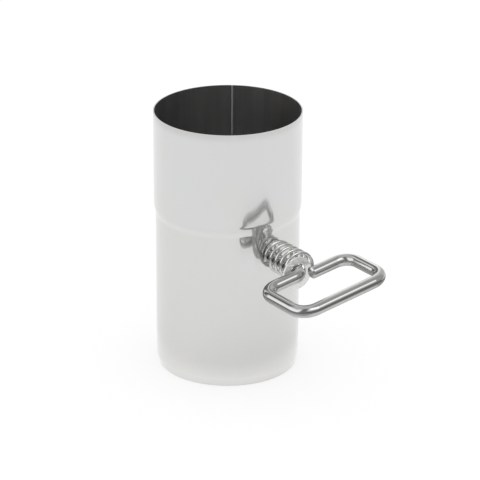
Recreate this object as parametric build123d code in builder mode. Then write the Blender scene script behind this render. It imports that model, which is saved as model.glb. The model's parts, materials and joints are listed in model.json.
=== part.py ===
from build123d import *
import os
from math import cos, radians, sin, sqrt

os.makedirs("parts", exist_ok=True)

# Stovepipe damper: a short pipe section with a turning plate inside and a sprung loop handle outside.
# Millimetres. The origin is on the pipe's axis at its bottom rim, +Z is up the pipe,
# and the spindle leaves the pipe towards -Y.

# Pipe: a socket at the top takes the next pipe, and the bottom end is drawn in to enter one
pipe_od = 76.0
wall = 0.6
pipe_height = 141.0
socket_depth = 51.0
socket_gap = 0.3
cone_height = 5.0
cone_blend = 10.0
end_height = 4.5
end_inset = 1.1
end_blend = 6.0

# Weld seam: a low bead down the inside
seam_angle = 51.0
seam_width = 1.4
seam_rise = 0.15

# Rod: the spindle and the loop handle are one bent rod
rod_d = 6.4
bore_gap = 0.1
spindle_height = 71.7
rest_turn = 8.5
rear_reach = 5.0
rod_chamfer = 0.8
handle_turn_radius = 5.5
loop_left = 25.8
loop_right = 26.8
loop_reach = 34.4
loop_bend_radius = 8.2
loop_spring_back = 3.0
loop_end_lap = 0.4

# Spring and washer outside the wall
spring_length = 22.2
spring_od = 17.0
spring_wire_d = 1.7
spring_turns = 4.6
spring_start = 191.0
spring_lean_angle = 2.0
spring_lean_gap = 0.15
seat_gap = 0.1
washer_od = 17.8
washer_bore = 10.6
washer_thickness = 1.2
washer_edge = 0.3
washer_drop = 1.5
washer_clearance = 0.2

# Stop washer inside the front wall, which takes the spring's pull
stop_od = 14.0
stop_thickness = 1.0
stop_chamfer = 0.15

# Plate, and the two pressed saddles that hold it to the rod
plate_thickness = 1.2
plate_edge = 0.2
vent_d = 6.0
vent_count = 4
vent_inset = 12.5
saddle_inset = 2.5
saddle_length = 12.0
saddle_thickness = 1.2
saddle_foot = 8.0
saddle_bend = 1.5
saddle_fit = 0.05

# Rivets
rivet_d = 3.0
rivet_head_d = 5.4
rivet_head_height = 1.3
rivet_fit = 0.05

# Sizes that follow from those above
pipe_r = pipe_od / 2
bore_r = pipe_r - wall
socket_r = pipe_r + socket_gap + wall
cone_bottom = pipe_height - socket_depth - cone_height
rod_r = rod_d / 2

# The stop washer's rim bears on the round wall, and the plate's rim bears on the stop washer
stop_front = sqrt(bore_r**2 - (stop_od / 2) ** 2) - seat_gap
stop_back = stop_front - stop_thickness
plate_r = stop_back - seat_gap
saddle_centre = plate_r - saddle_inset - saddle_length / 2

# The washer rests on the inside of the handle's tight turn
turn_inner_r = handle_turn_radius - rod_r
washer_hold = washer_bore / 2 - washer_drop - washer_clearance
washer_stand = handle_turn_radius - sqrt(turn_inner_r**2 - (handle_turn_radius - washer_hold) ** 2)
washer_face = pipe_r + spring_length + washer_thickness
near_side = washer_face + washer_stand
far_side = near_side + loop_reach

# Plane of the handle and the plate: x along the loop's long sides, y back along the spindle
turned = Plane(
    origin=(0, 0, spindle_height),
    x_dir=(cos(radians(rest_turn)), 0, sin(radians(rest_turn))),
    z_dir=(-sin(radians(rest_turn)), 0, cos(radians(rest_turn))),
)


def across_spindle(forward):
    """Plane across the spindle at a distance in front of the pipe's axis, facing away from the pipe."""
    return Plane(origin=turned.from_local_coords((0, -forward, 0)), x_dir=turned.x_dir, z_dir=(0, -1, 0))


# Pipe
def pipe_side(inset):
    """Draw the pipe's side from the bottom rim up, moved inwards by the inset."""
    return FilletPolyline(
        (pipe_r - end_inset - inset, 0),
        (pipe_r - inset, end_height),
        (pipe_r - inset, cone_bottom),
        (socket_r - inset, cone_bottom + cone_height),
        (socket_r - inset, pipe_height),
        radius=[end_blend - inset, cone_blend + inset, cone_blend - inset],
    )


with BuildPart() as pipe:
    with BuildSketch(Plane.XZ):
        with BuildLine():
            side = pipe_side(0)
            Polyline(side @ 0, (0, 0), (0, pipe_height), side @ 1)
        make_face()
    revolve(axis=Axis.Z)
    offset(amount=-wall, openings=pipe.faces().filter_by(Axis.Z))
    # Weld bead
    with BuildSketch(Plane.XZ.rotated((0, 0, seam_angle))):
        with BuildLine() as seam:
            pipe_side(wall)
        trace(seam.line, line_width=2 * seam_rise)
        Rectangle(pipe_od, pipe_height, align=Align.MIN, mode=Mode.INTERSECT)
    extrude(amount=seam_width / 2, both=True)
    # Spindle holes, front and rear
    with BuildSketch(across_spindle(0)):
        Circle(rod_r + bore_gap)
    extrude(amount=pipe_od, both=True, mode=Mode.SUBTRACT)

pipe.part.label = "pipe"
export_step(pipe.part, "parts/pipe.step")


# Rod: straight through the pipe, tightly bent to the left in front of the washer, then the loop
rod_points = [
    (0, pipe_r + rear_reach),
    (0, -near_side),
    (-loop_left, -near_side),
    (-loop_left, -far_side),
    (loop_right, -far_side),
    (loop_right, -near_side - loop_spring_back),
    (rod_r - loop_end_lap, -near_side - loop_spring_back),
]
with BuildPart() as spindle_handle:
    with BuildLine(turned) as rod_path:
        FilletPolyline(*rod_points, radius=[handle_turn_radius] + [loop_bend_radius] * (len(rod_points) - 3))
    with BuildSketch(across_spindle(-pipe_r - rear_reach)):
        Circle(rod_r)
    sweep(path=rod_path.line)
    cut_ends = [
        spindle_handle.faces().sort_by_distance(rod_path.line @ 0)[0],
        spindle_handle.faces().sort_by_distance(rod_path.line @ 1)[0],
    ]
    chamfer([face.edges() for face in cut_ends], length=rod_chamfer)
    # Hole for the key rivet
    with BuildSketch(turned):
        with Locations((0, -saddle_centre)):
            Circle(rivet_d / 2 + rivet_fit)
    extrude(amount=rod_d, both=True, mode=Mode.SUBTRACT)

spindle_handle.part.label = "spindle_handle"
export_step(spindle_handle.part, "parts/spindle_handle.step")


# Handle washer, hanging on the rod as far as its bore lets it
with BuildPart() as handle_washer:
    with BuildSketch(Plane.XZ.offset(washer_face - washer_thickness)):
        with Locations((0, spindle_height - washer_drop)):
            Circle(washer_od / 2)
            Circle(washer_bore / 2, mode=Mode.SUBTRACT)
    extrude(amount=washer_thickness)
    fillet(handle_washer.edges().filter_by(GeomType.CIRCLE), radius=washer_edge)

handle_washer.part.label = "handle_washer"
export_step(handle_washer.part, "parts/handle_washer.step")


# Spring: a left-hand coil, pushed off the rod's axis until its turns lean on the rod
coil_start = pipe_r + spring_wire_d / 2 + seat_gap
coil_end = washer_face - washer_thickness - spring_wire_d / 2 - seat_gap
coil_length = coil_end - coil_start
coil_shift = spring_od / 2 - spring_wire_d - rod_r - spring_lean_gap
coil_place = Plane(
    origin=(
        coil_shift * cos(radians(spring_lean_angle)),
        -coil_start,
        spindle_height + coil_shift * sin(radians(spring_lean_angle)),
    ),
    x_dir=(cos(radians(spring_start)), 0, sin(radians(spring_start))),
    z_dir=(0, -1, 0),
)
coil = coil_place * Helix(
    pitch=coil_length / spring_turns,
    height=coil_length,
    radius=(spring_od - spring_wire_d) / 2,
    lefthand=True,
)
with BuildPart() as spring:
    with BuildSketch(Plane(origin=coil @ 0, z_dir=coil % 0)):
        Circle(spring_wire_d / 2)
    sweep(path=coil, is_frenet=True)

spring.part.label = "spring"
export_step(spring.part, "parts/spring.step")


# Stop washer
with BuildPart() as stop_washer:
    with BuildSketch(across_spindle(stop_back)):
        Circle(stop_od / 2)
        Circle(rod_r + bore_gap, mode=Mode.SUBTRACT)
    extrude(amount=stop_thickness)
    chamfer(stop_washer.edges().filter_by(GeomType.CIRCLE), length=stop_chamfer)

stop_washer.part.label = "stop_washer"
export_step(stop_washer.part, "parts/stop_washer.step")


# Damper plate, lying against the rod's lower side
plate_top = turned.offset(-rod_r)
front_saddle_at = (0, -saddle_centre)
rear_saddle_at = (0, saddle_centre)
strap_r = rod_r + saddle_fit + saddle_thickness / 2
foot_end = strap_r + saddle_thickness / 2 + saddle_foot
rivet_side = foot_end - saddle_foot / 2
with BuildPart() as damper_plate:
    with BuildSketch(plate_top):
        Circle(plate_r)
    extrude(amount=-plate_thickness)
    chamfer(damper_plate.edges(), length=plate_edge)
    # Rivet holes and the holes that always let some flue gas by
    with BuildSketch(plate_top):
        with Locations(front_saddle_at, rear_saddle_at):
            with GridLocations(2 * rivet_side, 0, 2, 1):
                Circle(rivet_d / 2 + rivet_fit)
        with Locations(front_saddle_at):
            Circle(rivet_d / 2 + rivet_fit)
        with PolarLocations(plate_r - vent_inset, vent_count, start_angle=180 / vent_count):
            Circle(vent_d / 2)
    extrude(amount=-plate_thickness, mode=Mode.SUBTRACT)

damper_plate.part.label = "damper_plate"
export_step(damper_plate.part, "parts/damper_plate.step")


# Saddles: a pressed strap over the rod, with a foot on each side that is riveted to the plate
foot_height = saddle_thickness / 2 - rod_r


def build_saddle(centre):
    """Press one saddle's strap and drill its feet."""
    with BuildPart() as saddle:
        with BuildSketch(across_spindle(-centre[1] - saddle_length / 2)):
            with BuildLine() as strap:
                FilletPolyline(
                    (-foot_end, foot_height), (-strap_r, foot_height), (-strap_r, 0), radius=saddle_bend
                )
                CenterArc((0, 0), strap_r, 180, -180)
                FilletPolyline((strap_r, 0), (strap_r, foot_height), (foot_end, foot_height), radius=saddle_bend)
            trace(strap.line, line_width=saddle_thickness)
        extrude(amount=saddle_length)
        with BuildSketch(turned):
            with Locations(centre):
                with GridLocations(2 * rivet_side, 0, 2, 1):
                    Circle(rivet_d / 2 + rivet_fit)
        extrude(amount=-rod_d, mode=Mode.SUBTRACT)
    return saddle.part


# Front saddle, with a hole in its crown for the key rivet
with BuildPart() as saddle_front:
    add(build_saddle(front_saddle_at))
    with BuildSketch(turned):
        with Locations(front_saddle_at):
            Circle(rivet_d / 2 + rivet_fit)
    extrude(amount=rod_d, mode=Mode.SUBTRACT)

saddle_front.part.label = "saddle_front"
export_step(saddle_front.part, "parts/saddle_front.step")

# Rear saddle
with BuildPart() as saddle_rear:
    add(build_saddle(rear_saddle_at))

saddle_rear.part.label = "saddle_rear"
export_step(saddle_rear.part, "parts/saddle_rear.step")


# Rivets: a shank with a domed head at each end
def build_rivet(grip):
    """Make a rivet that stands on its lower head at the origin and holds a grip along +Z."""
    with BuildPart() as rivet:
        with BuildSketch(Plane.XZ):
            with BuildLine():
                axis_line = Line((0, -rivet_head_height), (0, grip + rivet_head_height))
                upper_dome = TangentArc(axis_line @ 1, (rivet_head_d / 2, grip), tangent=(1, 0))
                lower_dome = TangentArc(axis_line @ 0, (rivet_head_d / 2, 0), tangent=(1, 0))
                Polyline(upper_dome @ 1, (rivet_d / 2, grip), (rivet_d / 2, 0), lower_dome @ 1)
            make_face()
        revolve(axis=Axis.Z)
    return rivet.part


plate_bottom = turned.offset(-rod_r - plate_thickness)
saddle_rivet = build_rivet(plate_thickness + saddle_thickness)
with BuildPart(plate_bottom) as saddle_rivets:
    with Locations(front_saddle_at, rear_saddle_at):
        with GridLocations(2 * rivet_side, 0, 2, 1):
            add(saddle_rivet)

saddle_rivets.part.label = "saddle_rivets"
export_step(saddle_rivets.part, "parts/saddle_rivets.step")

# Key rivet, through the front saddle's crown, the rod and the plate
with BuildPart(plate_bottom) as key_rivet:
    with Locations(front_saddle_at):
        add(build_rivet(plate_thickness + rod_r + strap_r + saddle_thickness / 2))

key_rivet.part.label = "key_rivet"
export_step(key_rivet.part, "parts/key_rivet.step")
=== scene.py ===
import json
import math

import bpy
from mathutils import Matrix, Vector


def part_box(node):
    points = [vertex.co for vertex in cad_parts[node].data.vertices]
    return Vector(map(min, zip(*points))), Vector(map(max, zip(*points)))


# A stovepipe damper on a white floor. Metres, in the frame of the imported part:
# the pipe stands on its lower rim at the origin, and its spindle leaves it towards -Y.

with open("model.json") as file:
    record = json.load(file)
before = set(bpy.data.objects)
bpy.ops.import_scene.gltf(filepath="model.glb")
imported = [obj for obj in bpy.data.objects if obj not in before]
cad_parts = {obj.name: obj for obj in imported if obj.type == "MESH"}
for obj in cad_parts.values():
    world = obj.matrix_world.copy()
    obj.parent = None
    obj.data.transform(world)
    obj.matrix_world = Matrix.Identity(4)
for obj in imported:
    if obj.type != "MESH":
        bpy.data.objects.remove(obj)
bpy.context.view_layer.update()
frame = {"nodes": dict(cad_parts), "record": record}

MM = 0.001
WHITE = (1.0, 1.0, 1.0, 1.0)

# Camera
CAMERA_TURN = math.radians(-36.0)
CAMERA_RISE = math.radians(22.79)
CAMERA_ROLL = math.radians(0.216)
CAMERA_DISTANCE = 1368.0 * MM
CAMERA_FOCAL_MM = 193.9
CAMERA_SENSOR_MM = 36.0
VIEW_CENTRE_ACROSS = 6.51 * MM
VIEW_CENTRE_HEIGHT = 67.78 * MM

# Places on the pipe
PIPE_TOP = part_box("pipe")[1][2]
SEAM_ANGLE = math.radians(51.0)
SEAM_HALF_WIDTH = 0.5 * MM
SEAM_CORE = 0.1 * MM
STEP_HEIGHT = 86.0 * MM
# The painted highlight along the step: its half width and sharp core
STEP_HIGHLIGHT_HALF_WIDTH = 2.6 * MM
STEP_HIGHLIGHT_CORE = 0.3 * MM
MOUTH_HEIGHT = 5.0 * MM
WARM_BELOW = 43.0 * MM
DULL_BELOW = 104.0 * MM
BRIGHT_ABOVE = 118.0 * MM
LEVEL_FACE = 0.9

# The pipe's colours and roughness
SOCKET_COLOURS = ((0.652, 0.650, 0.644, 1.0), (0.649, 0.653, 0.657, 1.0))
BODY_COLOURS = ((0.655, 0.652, 0.638, 1.0), (0.652, 0.653, 0.645, 1.0))
# A painted highlight along the step, lighter than the sheet
STEP_HIGHLIGHT_COLOUR = (0.702, 0.70, 0.688, 1.0)
STEP_HIGHLIGHT_SHARE = 0.65
# Painted shade just under the mouth
MOUTH_SHADE_COLOUR = (0.565, 0.56, 0.55, 1.0)
# Inside levels: rolled sheet in streaks, darker than the outside partly as painted shade
STREAK_AND_SHADE_LEVELS = (0.465, 0.515)
STAIN_COLOUR = (0.60, 0.575, 0.54, 1.0)
STAIN_SHARE = 0.5
# The weld's lighter colour is a ground weld's, raised further as a painted highlight along the bead
WELD_AND_HIGHLIGHT_LEVEL = 0.85
CUT_EDGE_LEVEL = 0.42
OUTSIDE_ROUGHNESS = (0.045, 0.28)
STREAK_ROUGHNESS = (0.30, 0.34)
WELD_EXTRA_ROUGHNESS = 0.35
DEEP_EXTRA_ROUGHNESS = 0.12

# Noises: scale per metre, and stretch, where a small number draws the noise out along that axis
EVEN = (1.0, 1.0, 1.0)
CLOUDS = (30.0, EVEN)
STREAKS = (900.0, (1.0, 1.0, 0.02))
STAINS = (45.0, (1.0, 1.0, 0.4))
POLISH_GRAIN = (20000.0, (1.0, 1.0, 0.5))
STEEL_CLOUDS = (150.0, EVEN)
DRAWN_LINES_SCALE = 1500.0
NOISE_DETAIL = 3.0

# Parts of those noises' range over which a surface changes
CLOUD_RANGE = (0.35, 0.65)
MOUTH_SHADE_CLOUD_RANGE = (0.2, 0.6)
STREAK_RANGE = (0.3, 0.7)
STAIN_RANGE = (0.45, 0.65)
GRAIN_RANGE = (0.48, 0.58)
LINE_RANGE = (0.3, 0.7)

# Steels other than the pipe's: level, roughness, how the fine lines are drawn out, share of bare metal
STEELS = {
    "rod_steel": (0.62, 0.10, (0.05, 1.0, 1.0), 1.0),
    "spring_steel": (0.80, 0.06, (1.0, 0.2, 1.0), 1.0),
    "washer_steel": (0.80, 0.18, EVEN, 0.45),
    "stop_washer_steel": (0.55, 0.22, EVEN, 1.0),
    "plate_steel": (0.50, 0.30, (1.0, 0.05, 1.0), 1.0),
    "saddle_steel": (0.52, 0.26, (1.0, 0.1, 1.0), 1.0),
    "rivet_steel": (0.56, 0.22, EVEN, 1.0),
}
STEEL_WARMTH = 0.985
STEEL_LEVEL_SPREAD = 0.03
SMOOTHER_LINES = 0.02
ROUGHER_LINES = 0.04
LINE_DEPTH = 0.003 * MM

# Floor
FLOOR_RADIUS = 3.0
FLOOR_SIDES = 96
FLOOR_LEVEL = 0.8
FLOOR_WHITE = 1.03
SHADOW_SHARE = 0.3
# Rays straight from the camera have depth 0, and those mirrored once have depth 1
GLOW_SEEN_TO_DEPTH = 1.5
# Pools of light under the handle and round the pipe's foot: centre, inner and outer radius, level inside
# and outside
POOLS = (
    ((0.027, -0.154, 0.0), 0.045, 0.14, 0.85, 0.0),
    ((-0.01, -0.06, 0.0), 0.05, 0.13, 0.85, 0.0),
    ((0.0, -0.06, 0.0), 0.12, 0.32, 0.46, 0.20),
)
# Behind the part the floor is light: from and to where its level falls, going towards the photograph's
# side, and both levels
# A painted pool of light in the floor's colour, which the metal sees in its reflections
FLOOR_BEHIND = (-0.30, -0.05, 0.95, 0.0)
# The part shades the floor: near and far distance from the pipe's axis, and the share of light there
FOOT_LIGHT = (0.036, 0.07, 0.62, 0.97)
GLOW_SEEN_BY = (
    "pipe",
    "handle_washer",
    "damper_plate",
    "saddle_front",
    "saddle_rear",
    "saddle_rivets",
    "key_rivet",
)

# Studio: level between the cards, and the cards that the metal sees. Each has degrees of turn to the right
# of the photograph's side, rise, half width, half height and soft edge, and then its level
STUDIO_LEVEL = 0.64
CARDS = {
    "white wall behind": (193.0, 0.0, 24.0, 40.0, 12.0, 1.32),
    "grey wall on the right": (95.0, 40.0, 30.0, 44.0, 10.0, 0.42),
    "lamp on the left": (-75.0, 21.0, 34.0, 19.0, 9.0, 1.32),
    "lamp above the front": (10.0, 55.0, 44.0, 16.0, 8.0, 1.7),
    "dark room in front": (28.0, 1.0, 75.0, 18.0, 10.0, 0.15),
    "dark flag between the lamps": (-22.0, 34.0, 16.0, 40.0, 10.0, 0.22),
    "dark flag at the left back": (-142.0, 9.0, 26.0, 40.0, 8.0, 0.12),
}

# Socket numbers of the Mix node, whose names repeat
MIX_INPUTS = {"FLOAT": (0, 2, 3), "RGBA": (0, 6, 7)}
MIX_OUTPUT = {"FLOAT": 0, "RGBA": 2}


# Node tools
class Graph:
    """Shorthand for building one node tree."""

    def __init__(self, tree):
        self.tree = tree

    def add(self, kind, **values):
        """Add a node and set its properties."""
        node = self.tree.nodes.new(kind)
        for name, value in values.items():
            setattr(node, name, value)
        return node

    def plug(self, socket, value):
        """Link an output to an input, or set the input's own value."""
        if isinstance(value, bpy.types.NodeSocket):
            self.tree.links.new(value, socket)
        elif value is not None:
            socket.default_value = value

    def math(self, operation, first, second=None):
        """One math node, as its output."""
        node = self.add("ShaderNodeMath", operation=operation)
        self.plug(node.inputs[0], first)
        self.plug(node.inputs[1], second)
        return node.outputs[0]

    def measure(self, operation, vector, other=None):
        """A number worked out from a vector, and from another one if the operation takes two."""
        node = self.add("ShaderNodeVectorMath", operation=operation)
        self.plug(node.inputs[0], vector)
        self.plug(node.inputs[1], other)
        return node.outputs["Value"]

    def along(self, vector, direction):
        """How far a vector reaches along a fixed direction."""
        return self.measure("DOT_PRODUCT", vector, direction)

    def smooth(self, value, low, high, start=0.0, end=1.0):
        """Map a value smoothly from low..high to start..end."""
        node = self.add("ShaderNodeMapRange", interpolation_type="SMOOTHSTEP")
        for index, entry in enumerate((value, low, high, start, end)):
            self.plug(node.inputs[index], entry)
        return node.outputs[0]

    def mix(self, factor, first, second, kind="RGBA"):
        """Mix two colours, or two numbers with the kind FLOAT."""
        node = self.add("ShaderNodeMix", data_type=kind)
        for index, entry in zip(MIX_INPUTS[kind], (factor, first, second)):
            self.plug(node.inputs[index], entry)
        return node.outputs[MIX_OUTPUT[kind]]

    def split(self, vector):
        """X, Y and Z of a vector."""
        node = self.add("ShaderNodeSeparateXYZ")
        self.plug(node.inputs[0], vector)
        return node.outputs

    def noise(self, vector, scale, stretch):
        """Noise at a scale per metre, drawn out along the axes with a small stretch."""
        mapping = self.add("ShaderNodeMapping")
        mapping.inputs["Scale"].default_value = stretch
        self.plug(mapping.inputs["Vector"], vector)
        node = self.add("ShaderNodeTexNoise")
        self.plug(node.inputs["Vector"], mapping.outputs[0])
        node.inputs["Scale"].default_value = scale
        node.inputs["Detail"].default_value = NOISE_DETAIL
        return node.outputs["Fac"]

    def bump(self, height, distance):
        """Bump from a height of 0..1 over a distance in metres."""
        node = self.add("ShaderNodeBump")
        node.inputs["Distance"].default_value = distance
        self.plug(node.inputs["Height"], height)
        return node.outputs[0]


def grey(level):
    """A neutral colour at a linear level."""
    return (level, level, level, 1.0)


def warm_grey(level):
    """A grey with a trace of warmth, as bare steel has."""
    return (level, level, STEEL_WARMTH * level, 1.0)


def new_metal(name, metallic):
    """Start a metal material, and return it with its graph, its shader and the place on the surface."""
    material = bpy.data.materials.new(name)
    material.use_nodes = True
    graph = Graph(material.node_tree)
    shader = material.node_tree.nodes["Principled BSDF"]
    shader.inputs["Metallic"].default_value = metallic
    place = graph.add("ShaderNodeTexCoord").outputs["Object"]
    return material, graph, shader, place


# Materials
def weld_line(graph, place):
    """How far a point is on the pipe's upright weld, from 0 to 1."""
    outwards = (math.cos(SEAM_ANGLE), math.sin(SEAM_ANGLE), 0.0)
    sideways = (-math.sin(SEAM_ANGLE), math.cos(SEAM_ANGLE), 0.0)
    across = graph.math("ABSOLUTE", graph.along(place, sideways))
    line = graph.smooth(across, SEAM_CORE, SEAM_HALF_WIDTH, 1.0, 0.0)
    return graph.math("MULTIPLY", line, graph.math("GREATER_THAN", graph.along(place, outwards), 0.0))


def outside_colour(graph, place, z):
    """Polished sheet in soft clouds, warmer towards the foot, with a painted highlight along the step and
    painted shade under the mouth.
    """
    clouds = graph.noise(place, *CLOUDS)
    cloudy = graph.smooth(clouds, *CLOUD_RANGE)
    on_socket = graph.smooth(z, WARM_BELOW, PIPE_TOP - MOUTH_HEIGHT)
    colour = graph.mix(on_socket, graph.mix(cloudy, *BODY_COLOURS), graph.mix(cloudy, *SOCKET_COLOURS))
    from_step = graph.math("ABSOLUTE", graph.math("SUBTRACT", z, STEP_HEIGHT))
    # Painted highlight: a lighter line where the sheet steps out to the socket
    step_highlight = graph.smooth(from_step, STEP_HIGHLIGHT_CORE, STEP_HIGHLIGHT_HALF_WIDTH, STEP_HIGHLIGHT_SHARE, 0.0)
    colour = graph.mix(step_highlight, colour, STEP_HIGHLIGHT_COLOUR)
    # Painted shade: darker in broken clouds just under the mouth
    mouth_shade = graph.smooth(z, PIPE_TOP - MOUTH_HEIGHT, PIPE_TOP)
    mouth_shade = graph.math("MULTIPLY", mouth_shade, graph.smooth(clouds, *MOUTH_SHADE_CLOUD_RANGE))
    return graph.mix(mouth_shade, colour, MOUTH_SHADE_COLOUR)


def inside_colour(graph, place, streaks, weld):
    """Rolled sheet, darker partly as painted shade, with faint upright streaks, warm stains and the weld,
    lighter partly as a painted highlight.
    """
    # Painted shade in part: the rolled sheet inside is kept darker than the outside
    colour = graph.mix(graph.smooth(streaks, *STREAK_RANGE), *map(grey, STREAK_AND_SHADE_LEVELS))
    stains = graph.smooth(graph.noise(place, *STAINS), *STAIN_RANGE)
    colour = graph.mix(graph.math("MULTIPLY", stains, STAIN_SHARE), colour, STAIN_COLOUR)
    # The weld: lighter ground metal, partly a painted highlight
    return graph.mix(weld, colour, grey(WELD_AND_HIGHLIGHT_LEVEL))


def inside_roughness(graph, z, streaks, weld):
    """Dull rolled sheet, duller on the weld and deep in the pipe."""
    roughness = graph.smooth(streaks, *STREAK_RANGE, *STREAK_ROUGHNESS)
    roughness = graph.math("ADD", roughness, graph.math("MULTIPLY", weld, WELD_EXTRA_ROUGHNESS))
    deep = graph.smooth(z, DULL_BELOW, BRIGHT_ABOVE, DEEP_EXTRA_ROUGHNESS, 0.0)
    return graph.math("ADD", roughness, deep)


def pipe_steel():
    """Satin polished sheet outside, rolled sheet inside, and dark cut edges."""
    material, graph, shader, place = new_metal("pipe_steel", 1.0)
    x, y, z = graph.split(place)
    normal_x, normal_y, normal_z = graph.split(graph.add("ShaderNodeNewGeometry").outputs["True Normal"])
    facing_out = graph.math("ADD", graph.math("MULTIPLY", x, normal_x), graph.math("MULTIPLY", y, normal_y))
    inside = graph.math("LESS_THAN", facing_out, 0.0)
    cut_edge = graph.math("GREATER_THAN", graph.math("ABSOLUTE", normal_z), LEVEL_FACE)
    streaks = graph.noise(place, *STREAKS)
    weld = weld_line(graph, place)
    colour = graph.mix(inside, outside_colour(graph, place, z), inside_colour(graph, place, streaks, weld))
    graph.plug(shader.inputs["Base Color"], graph.mix(cut_edge, colour, grey(CUT_EDGE_LEVEL)))
    # The polish is a fine grain of sharp and dull gloss
    polish = graph.smooth(graph.noise(place, *POLISH_GRAIN), *GRAIN_RANGE, *OUTSIDE_ROUGHNESS)
    roughness = graph.mix(inside, polish, inside_roughness(graph, z, streaks, weld), "FLOAT")
    graph.plug(shader.inputs["Roughness"], roughness)
    return material


def drawn_steel(name, level, roughness, drawn, metallic):
    """Bright drawn or polished steel with fine lines along one direction."""
    material, graph, shader, place = new_metal(name, metallic)
    lines = graph.noise(place, DRAWN_LINES_SCALE, drawn)
    darker = warm_grey(level - STEEL_LEVEL_SPREAD)
    lighter = warm_grey(level + STEEL_LEVEL_SPREAD)
    graph.plug(shader.inputs["Base Color"], graph.mix(graph.noise(place, *STEEL_CLOUDS), darker, lighter))
    roughness = graph.smooth(lines, *LINE_RANGE, roughness - SMOOTHER_LINES, roughness + ROUGHER_LINES)
    graph.plug(shader.inputs["Roughness"], roughness)
    graph.plug(shader.inputs["Normal"], graph.bump(lines, LINE_DEPTH))
    return material


def dress_nodes():
    """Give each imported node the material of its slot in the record."""
    materials = {"pipe_steel": pipe_steel()}
    for name, look in STEELS.items():
        materials[name] = drawn_steel(name, *look)
    for subpart in frame["record"]["subparts"]:
        for slot in frame["nodes"][subpart["node"]].material_slots:
            slot.material = materials[subpart["material_slot"]]


dress_nodes()


# Floor: white to the camera and in the pipe, with the part's own soft shadow kept.
# The bright rod and spring see it darker away from the part
def floor_tone(graph, place, is_camera):
    """Share of the floor's white that comes from the light on it, and so takes shadow."""
    pool = 0.0
    for centre, inner, outer, high, low in POOLS:
        distance = graph.measure("DISTANCE", place, centre)
        pool = graph.math("MAXIMUM", pool, graph.smooth(distance, inner, outer, high, low))
    towards_photographer = graph.along(place, (math.sin(CAMERA_TURN), -math.cos(CAMERA_TURN), 0.0))
    pool = graph.math("MAXIMUM", pool, graph.smooth(towards_photographer, *FLOOR_BEHIND))
    return graph.mix(is_camera, pool, SHADOW_SHARE, "FLOAT")


def floor_white():
    """Material of the floor."""
    material = bpy.data.materials.new("floor_white")
    material.use_nodes = True
    graph = Graph(material.node_tree)
    graph.tree.nodes.remove(material.node_tree.nodes["Principled BSDF"])
    path = graph.add("ShaderNodeLightPath")
    is_camera = path.outputs["Is Camera Ray"]
    place = graph.add("ShaderNodeNewGeometry").outputs["Position"]
    tone = floor_tone(graph, place, is_camera)
    # The glow fills the white up, and makes up for the part's shadow, but not for the camera
    lit = graph.math("MAXIMUM", graph.smooth(graph.measure("LENGTH", place), *FOOT_LIGHT), is_camera)
    shortfall = graph.math("SUBTRACT", FLOOR_WHITE, graph.math("MULTIPLY", tone, lit))
    first_hits = graph.math("LESS_THAN", path.outputs["Ray Depth"], GLOW_SEEN_TO_DEPTH)
    glow = graph.add("ShaderNodeEmission")
    glow.inputs["Color"].default_value = WHITE
    graph.plug(glow.inputs["Strength"], graph.math("MULTIPLY", shortfall, first_hits))
    faint = graph.add("ShaderNodeBsdfDiffuse")
    graph.plug(faint.inputs["Color"], tone)
    white = graph.add("ShaderNodeAddShader")
    graph.plug(white.inputs[0], faint.outputs[0])
    graph.plug(white.inputs[1], glow.outputs[0])
    # Light that the floor throws back is that of a plain pale floor
    plain = graph.add("ShaderNodeBsdfDiffuse")
    plain.inputs["Color"].default_value = grey(FLOOR_LEVEL)
    chosen = graph.add("ShaderNodeMixShader")
    graph.plug(chosen.inputs[0], graph.math("MAXIMUM", is_camera, path.outputs["Is Glossy Ray"]))
    graph.plug(chosen.inputs[1], plain.outputs[0])
    graph.plug(chosen.inputs[2], white.outputs[0])
    graph.plug(graph.tree.nodes["Material Output"].inputs["Surface"], chosen.outputs[0])
    return material


def lay_floor():
    """Lay the floor, and link its glow to the pieces that see it white."""
    bpy.ops.mesh.primitive_circle_add(vertices=FLOOR_SIDES, radius=FLOOR_RADIUS, fill_type="NGON")
    floor = bpy.context.object
    floor.name = "floor"
    floor.data.materials.append(floor_white())
    glow_seen_by = bpy.data.collections.new("glow_seen_by")
    for node in GLOW_SEEN_BY:
        glow_seen_by.objects.link(frame["nodes"][node])
    floor.light_linking.receiver_collection = glow_seen_by


lay_floor()


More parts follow.
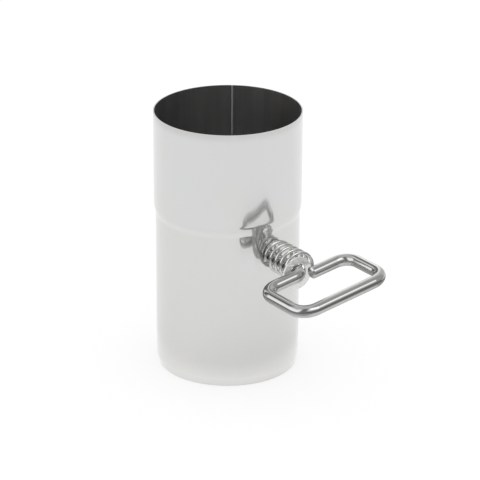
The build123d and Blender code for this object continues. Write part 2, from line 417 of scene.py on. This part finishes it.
# Studio: white all round to the camera, while the metal sees soft lamps and dark flags
def on_card(graph, direction, turn, rise, half_width, half_height, edge):
    """How far a direction falls on a soft-edged card, from 0 to 1."""
    azimuth = CAMERA_TURN + math.radians(turn)
    height = math.radians(rise)
    ahead = Vector((math.sin(azimuth), -math.cos(azimuth), 0.0))
    centre = ahead * math.cos(height) + Vector((0.0, 0.0, math.sin(height)))
    right = Vector((math.cos(azimuth), math.sin(azimuth), 0.0))
    facing = graph.along(direction, centre)
    spread = []
    for side, half in ((right, half_width), (right.cross(centre), half_height)):
        angle = graph.math("ABSOLUTE", graph.math("ARCTAN2", graph.along(direction, side), facing))
        spread.append(graph.smooth(angle, math.radians(half - edge), math.radians(half + edge), 1.0, 0.0))
    return graph.math("MULTIPLY", *spread)


def studio_world():
    """Set up the world."""
    world = bpy.data.worlds.new("studio")
    bpy.context.scene.world = world
    world.use_nodes = True
    graph = Graph(world.node_tree)
    background = world.node_tree.nodes["Background"]
    path = graph.add("ShaderNodeLightPath")
    direction = graph.add("ShaderNodeTexCoord").outputs["Generated"]
    colour = grey(STUDIO_LEVEL)
    for *shape, level in CARDS.values():
        colour = graph.mix(on_card(graph, direction, *shape), colour, grey(level))
    graph.plug(background.inputs["Color"], graph.mix(path.outputs["Is Glossy Ray"], WHITE, colour))


studio_world()


# Camera
def place_camera():
    """Stand the camera where the photograph was taken from."""
    camera = bpy.data.objects.new("camera", bpy.data.cameras.new("camera"))
    bpy.context.scene.collection.objects.link(camera)
    camera.data.lens = CAMERA_FOCAL_MM
    camera.data.sensor_width = CAMERA_SENSOR_MM
    turn = Matrix.Rotation(CAMERA_TURN, 4, "Z")
    target = turn @ Vector((VIEW_CENTRE_ACROSS, 0.0, VIEW_CENTRE_HEIGHT))
    tilt = Matrix.Rotation(math.pi / 2 - CAMERA_RISE, 4, "X")
    roll = Matrix.Rotation(CAMERA_ROLL, 4, "Z")
    back = turn @ Vector((0.0, -math.cos(CAMERA_RISE), math.sin(CAMERA_RISE)))
    camera.matrix_world = Matrix.Translation(target + back * CAMERA_DISTANCE) @ turn @ tilt @ roll
    bpy.context.scene.camera = camera


place_camera()
bpy.context.scene.view_settings.view_transform = "Standard"
